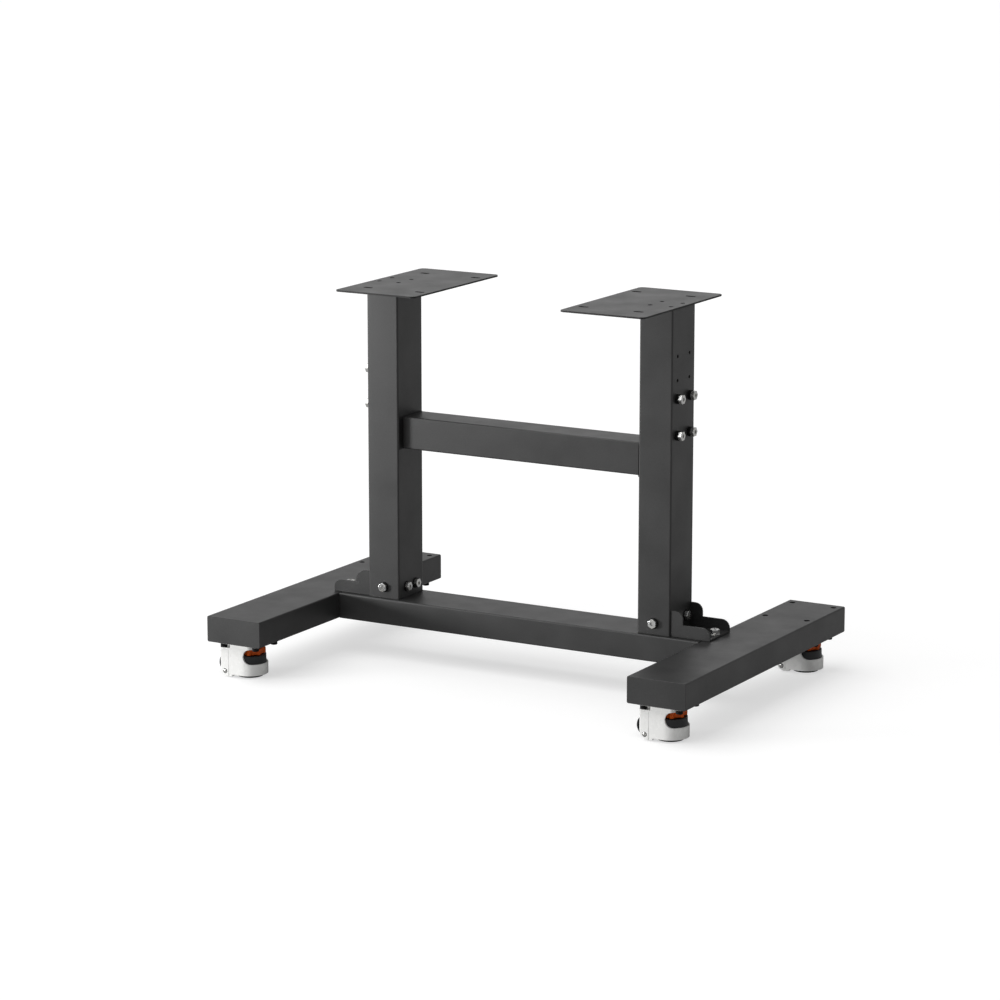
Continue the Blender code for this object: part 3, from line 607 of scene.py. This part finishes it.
def cheek_pad(y, low, high, thick, rear_radius):
    """A raised pad on one cheek, between two (x, z) corners, with its low rear corner rolled."""
    bm = bmesh.new()
    bmesh.ops.create_cube(bm, size=1.0)
    size = Vector((high[0] - low[0], thick, high[1] - low[1]))
    centre = Vector(((low[0] + high[0]) / 2, y, (low[1] + high[1]) / 2))
    place = Matrix.Translation(centre) @ Matrix.Diagonal((*size, 1))
    bmesh.ops.transform(bm, matrix=place, verts=bm.verts)
    low_rear = [
        edge for edge in bm.edges
        if all(vert.co.x < centre.x and vert.co.z < centre.z for vert in edge.verts)
    ]
    bmesh.ops.bevel(
        bm, geom=low_rear, offset=rear_radius, offset_type="OFFSET", segments=12, profile=0.5,
        affect="EDGES", material=-1,
    )
    rims = [
        edge for edge in bm.edges
        if edge.is_manifold and edge.calc_face_angle() > math.radians(60)
    ]
    bmesh.ops.bevel(
        bm, geom=rims, offset=0.25 * MM, offset_type="OFFSET", segments=2, profile=0.5,
        affect="EDGES", material=-1,
    )
    return bm


PAD_REAR, PAD_FRONT = -40.5 * MM, -24.2 * MM
LOW_PAD = {
    "low": (PAD_REAR, 2 * MM), "high": (PAD_FRONT, 23 * MM),
    "thick": 1.4 * MM, "rear_radius": 15 * MM,
}
HIGH_PAD = {
    "low": (PAD_REAR, 22 * MM), "high": (PAD_FRONT, 53 * MM),
    "thick": 0.7 * MM, "rear_radius": 0.5 * MM,
}
for spot, axis in castor_axis.items():
    pads = joined(*(
        cheek_pad(y, **pad) for y in (-CHEEK_Y, CHEEK_Y) for pad in (LOW_PAD, HIGH_PAD)
    ))
    bmesh.ops.translate(pads, vec=axis, verts=pads.verts)
    finished_piece(
        f"castor_{spot}_cheek_pads", pads, white_enamel_on_casting, f"castor_{spot}"
    )
print("low pads stand", LOW_PAD["thick"] / 2 / MM, "mm proud of the cheeks")

# %% Make the cheek screws
AXLE_X, AXLE_Z, PAD_FACE_Y = -31.4 * MM, 11.4 * MM, CHEEK_Y + 0.7 * MM
for spot, axis in castor_axis.items():
    screws, rings = [], []
    for way in (-1, 1):
        turn = Vector((0, 0, 1)).rotation_difference(Vector((0, way, 0))).to_matrix().to_4x4()
        at = Vector((AXLE_X, way * PAD_FACE_Y, AXLE_Z))
        head = turned([
            (0, 0.2 * MM), (1.0 * MM, 0.3 * MM), (1.3 * MM, 1.1 * MM), (2.6 * MM, 0.9 * MM),
            (3.4 * MM, 0.4 * MM), (3.6 * MM, -0.6 * MM), (0, -0.6 * MM),
        ], 32, closed=False)
        dark = ring(4.6 * MM, 3.4 * MM, -0.5 * MM, 0.15 * MM, 0.1 * MM)
        for bm in (head, dark):
            bmesh.ops.transform(bm, matrix=Matrix.Translation(axis + at) @ turn, verts=bm.verts)
        screws.append(head)
        rings.append(dark)
    body = f"castor_{spot}"
    finished_piece(body + "_cheek_screws", joined(*screws), bright_zinc_plating, body)
    finished_piece(body + "_screw_rings", joined(*rings), black_moulded_nylon, body)
print("one screw on each cheek")

# %% [markdown]
# ## Collar, thumb wheel, wheel and foot
#
# In the window a black collar hides the threaded stem, and the orange thumb wheel runs above it. Its black
# is partly the collar's own and partly painted shade for the dark inside of the window. The thumb wheel is a
# disc with eight finger lobes. Spinning a section makes the disc, and moving the rim in and out with the
# angle makes the lobes, which is quicker than joining eight cylinders and keeps the surface whole. The
# collar, the crowned wheel and the foot are plain lathe work.

# %% Make the collars
FOOT_X = 2.5 * MM
for spot, axis in castor_axis.items():
    # Black nylon: partly the collar's own colour and partly painted shade for the dark inside of the window.
    collar = turned([
        (8.6 * MM, 26 * MM), (31.2 * MM, 26 * MM), (30.4 * MM, 30.5 * MM), (30 * MM, 34 * MM),
        (30 * MM, 41.6 * MM), (29.4 * MM, 42.4 * MM), (8.6 * MM, 42.4 * MM),
    ], 96)
    bmesh.ops.translate(collar, vec=axis + Vector((FOOT_X, 0, 0)), verts=collar.verts)
    finished_piece(f"castor_{spot}_collar", collar, black_moulded_nylon, f"castor_{spot}")
print("collars are 60 mm across")

# %% Make the thumb wheels
LOBES, LOBE_DEPTH = 8, 4.6 * MM
LOBE_ANGLE = {"front_left": 26.6, "front_right": 30.6, "rear_left": 12.0, "rear_right": 38.0}


def thumb_wheel(angle):
    """A moulded disc whose rim swells into eight finger lobes, with one of them at the given angle."""
    bm = turned([
        (8.4 * MM, 43.4 * MM), (27.4 * MM, 43.4 * MM), (28.7 * MM, 43.9 * MM), (29.2 * MM, 45 * MM),
        (29.3 * MM, 49 * MM), (29.2 * MM, 53.6 * MM), (28.7 * MM, 54.7 * MM), (27.4 * MM, 55.2 * MM),
        (8.4 * MM, 55.2 * MM),
    ], 160)
    for vert in bm.verts:
        radius = math.hypot(vert.co.x, vert.co.y)
        if radius > 20 * MM:
            turn = math.atan2(vert.co.y, vert.co.x) - math.radians(angle)
            swell = max(0.0, math.cos(LOBES * turn)) ** 0.7
            inward = 1 - LOBE_DEPTH * (1 - swell) / radius
            vert.co.x *= inward
            vert.co.y *= inward
    return bm


for spot, axis in castor_axis.items():
    wheel = thumb_wheel(LOBE_ANGLE[spot])
    bmesh.ops.translate(wheel, vec=axis + Vector((FOOT_X, 0, 0)), verts=wheel.verts)
    part = f"castor_{spot}_adjuster"
    finished_piece(
        part + "_moulded", wheel, orange_moulded_nylon, f"castor_{spot}_screw",
        [part], crisp=50,
    )
print(LOBES, "lobes to a thumb wheel")

# %% Make the wheels
for spot, axis in castor_axis.items():
    part = f"castor_{spot}_wheel"
    low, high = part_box(part)
    radius, half = (high.z - low.z) / 2, (high.y - low.y) / 2
    wheel = turned([
        (4.3 * MM, half - 1 * MM), (9 * MM, half - 1 * MM), (9.4 * MM, half - 2 * MM),
        (15.6 * MM, half - 2 * MM), (16 * MM, half), (radius - 1.4 * MM, half),
        (radius - 0.3 * MM, half - 1.6 * MM), (radius, 0), (radius - 0.3 * MM, -half + 1.6 * MM),
        (radius - 1.4 * MM, -half), (16 * MM, -half), (15.6 * MM, -half + 2 * MM),
        (9.4 * MM, -half + 2 * MM), (9 * MM, -half + 1 * MM), (4.3 * MM, -half + 1 * MM),
    ], 64)
    sideways = Matrix.Translation((low + high) / 2) @ Matrix.Rotation(math.pi / 2, 4, "X")
    bmesh.ops.transform(wheel, matrix=sideways, verts=wheel.verts)
    finished_piece(
        part + "_moulded", wheel, black_moulded_nylon, f"castor_{spot}_roller", [part]
    )
print("wheels:", round(2 * radius / MM), "mm across and", round(2 * half / MM), "mm wide")

# %% Make the feet
for spot, axis in castor_axis.items():
    part = f"castor_{spot}_levelling_foot"
    at = axis + Vector((FOOT_X, 0, 0))
    pad = turned([
        (0, 0), (22.5 * MM, 0), (24 * MM, 0.6 * MM), (24.5 * MM, 1.8 * MM), (24.2 * MM, 4.2 * MM),
        (23 * MM, 5 * MM), (9 * MM, 5 * MM), (8.4 * MM, 6.5 * MM), (0, 6.5 * MM),
    ], 72, closed=False)
    stem = rod(8 * MM, 5.2 * MM, 52 * MM, 32)
    for bm in (pad, stem):
        bmesh.ops.translate(bm, vec=at, verts=bm.verts)
    body = f"castor_{spot}_foot"
    finished_piece(part + "_pad", pad, black_moulded_rubber, body, [part])
    finished_piece(part + "_stem", stem, bright_zinc_plating, body)
print("foot pads are 49 mm across")

# %% [markdown]
# ## Floor and light
#
# The stand is shown as in a catalogue, on a plain pale floor in a soft, even light from the front
# left. A very soft sun lights the whole floor alike, so that it stays white into the distance, and
# the sky round it is a dim even grey to everything but the eye. The floor paint itself is a light
# grey, which keeps its bounce gentle, and it is lifted to paper white only where it is seen directly.
# Two softboxes give the satin coat something to mirror: a low one at the front left puts the broad
# sheen on the faces of the posts, and a weak one far behind draws a line along the upper edges.

# %% Finish and make the floor
def studio_paint():
    """Pale matt studio paint with a faint roller texture. To the eye it is lifted to a paper white."""
    finish, tree, shader, place = start_finish("studio_floor_paint", Specular_IOR_Level=0.0, Roughness=1.0)
    roller = add_node(tree, "ShaderNodeTexNoise", {"Scale": 1 / (9 * MM), "Detail": 1.0}, {"Vector": place})
    shade = add_node(
        tree, "ShaderNodeMix", {"data_type": "RGBA", 6: linear("#b9b9b9"), 7: linear("#bcbcbc")},
        {0: roller.outputs["Fac"]},
    )
    seen = add_node(tree, "ShaderNodeLightPath")
    lift = add_node(
        tree, "ShaderNodeMath", {"operation": "MULTIPLY", 1: FLOOR_LIFT}, {0: seen.outputs["Is Camera Ray"]}
    )
    shader.inputs["Emission Color"].default_value = linear("#ffffff")
    tree.links.new(lift.outputs["Value"], shader.inputs["Emission Strength"])
    tree.links.new(shade.outputs[2], shader.inputs["Base Color"])
    return finish


FLOOR_LIFT = 0.57
floor_bm = bmesh.new()
bmesh.ops.create_grid(floor_bm, x_segments=1, y_segments=1, size=40)
floor_mesh = bpy.data.meshes.new("studio_floor")
floor_bm.to_mesh(floor_mesh)
floor_bm.free()
floor_mesh.materials.append(studio_paint())
studio_floor = bpy.data.objects.new("studio_floor", floor_mesh)
bpy.context.scene.collection.objects.link(studio_floor)
print("floor:", studio_floor.dimensions.x, "m across")

# %% Make the lights
def softbox(name, at, aim, size, power):
    """A rectangular area light at a point, aimed at another, and kept out of the picture itself."""
    light = bpy.data.lights.new(name, "AREA")
    light.shape = "RECTANGLE"
    light.size, light.size_y = size
    light.energy = power
    lamp = bpy.data.objects.new(name, light)
    lamp.location = at
    lamp.rotation_euler = (Vector(aim) - Vector(at)).to_track_quat("-Z", "Y").to_euler()
    lamp.visible_camera = False
    bpy.context.scene.collection.objects.link(lamp)
    return lamp


softbox("front_left_softbox", (-4.2, -3.3, 0.5), (-0.1, 0, 0.42), (1.4, 0.6), 175)
softbox("rear_softbox", (-2.5, 4.6, 2.6), (0, 0, 0.3), (3.0, 1.2), 12)

sun = bpy.data.lights.new("soft_sun", "SUN")
sun.energy = 2.0
sun.angle = math.radians(70)
sun_lamp = bpy.data.objects.new("soft_sun", sun)
sun_lamp.rotation_euler = Vector((0.48, 0.3, -1.0)).to_track_quat("-Z", "Y").to_euler()
bpy.context.scene.collection.objects.link(sun_lamp)

sky = bpy.data.worlds.new("studio_sky")
bpy.context.scene.world = sky
sky.use_nodes = True
sky_tree = sky.node_tree
backdrop = sky_tree.nodes["Background"]
seen = add_node(sky_tree, "ShaderNodeLightPath")
strength = add_node(
    sky_tree, "ShaderNodeMapRange",
    {"To Min": 0.35, "To Max": 1.0}, {"Value": seen.outputs["Is Camera Ray"]},
)
sky_tree.links.new(strength.outputs["Result"], backdrop.inputs["Strength"])
backdrop.inputs["Color"].default_value = (1, 1, 1, 1)
bpy.context.scene.view_settings.view_transform = "Standard"

# %% [markdown]
# ## Camera
#
# A long lens from seven metres away keeps the tubes nearly parallel, as product pictures do. It stands
# to the right of the front and looks down by twelve degrees.

# %% Make the camera
lens = bpy.data.cameras.new("catalogue_camera")
lens.lens = 134.83
lens.sensor_width = 36
lens.clip_end = 200
camera = bpy.data.objects.new("catalogue_camera", lens)
camera.location = (3.35121, -5.93533, 1.78442)
camera.rotation_euler = (math.radians(77.960), 0, math.radians(29.886))
bpy.context.scene.collection.objects.link(camera)
bpy.context.scene.camera = camera
print("lens:", round(lens.lens), "mm")
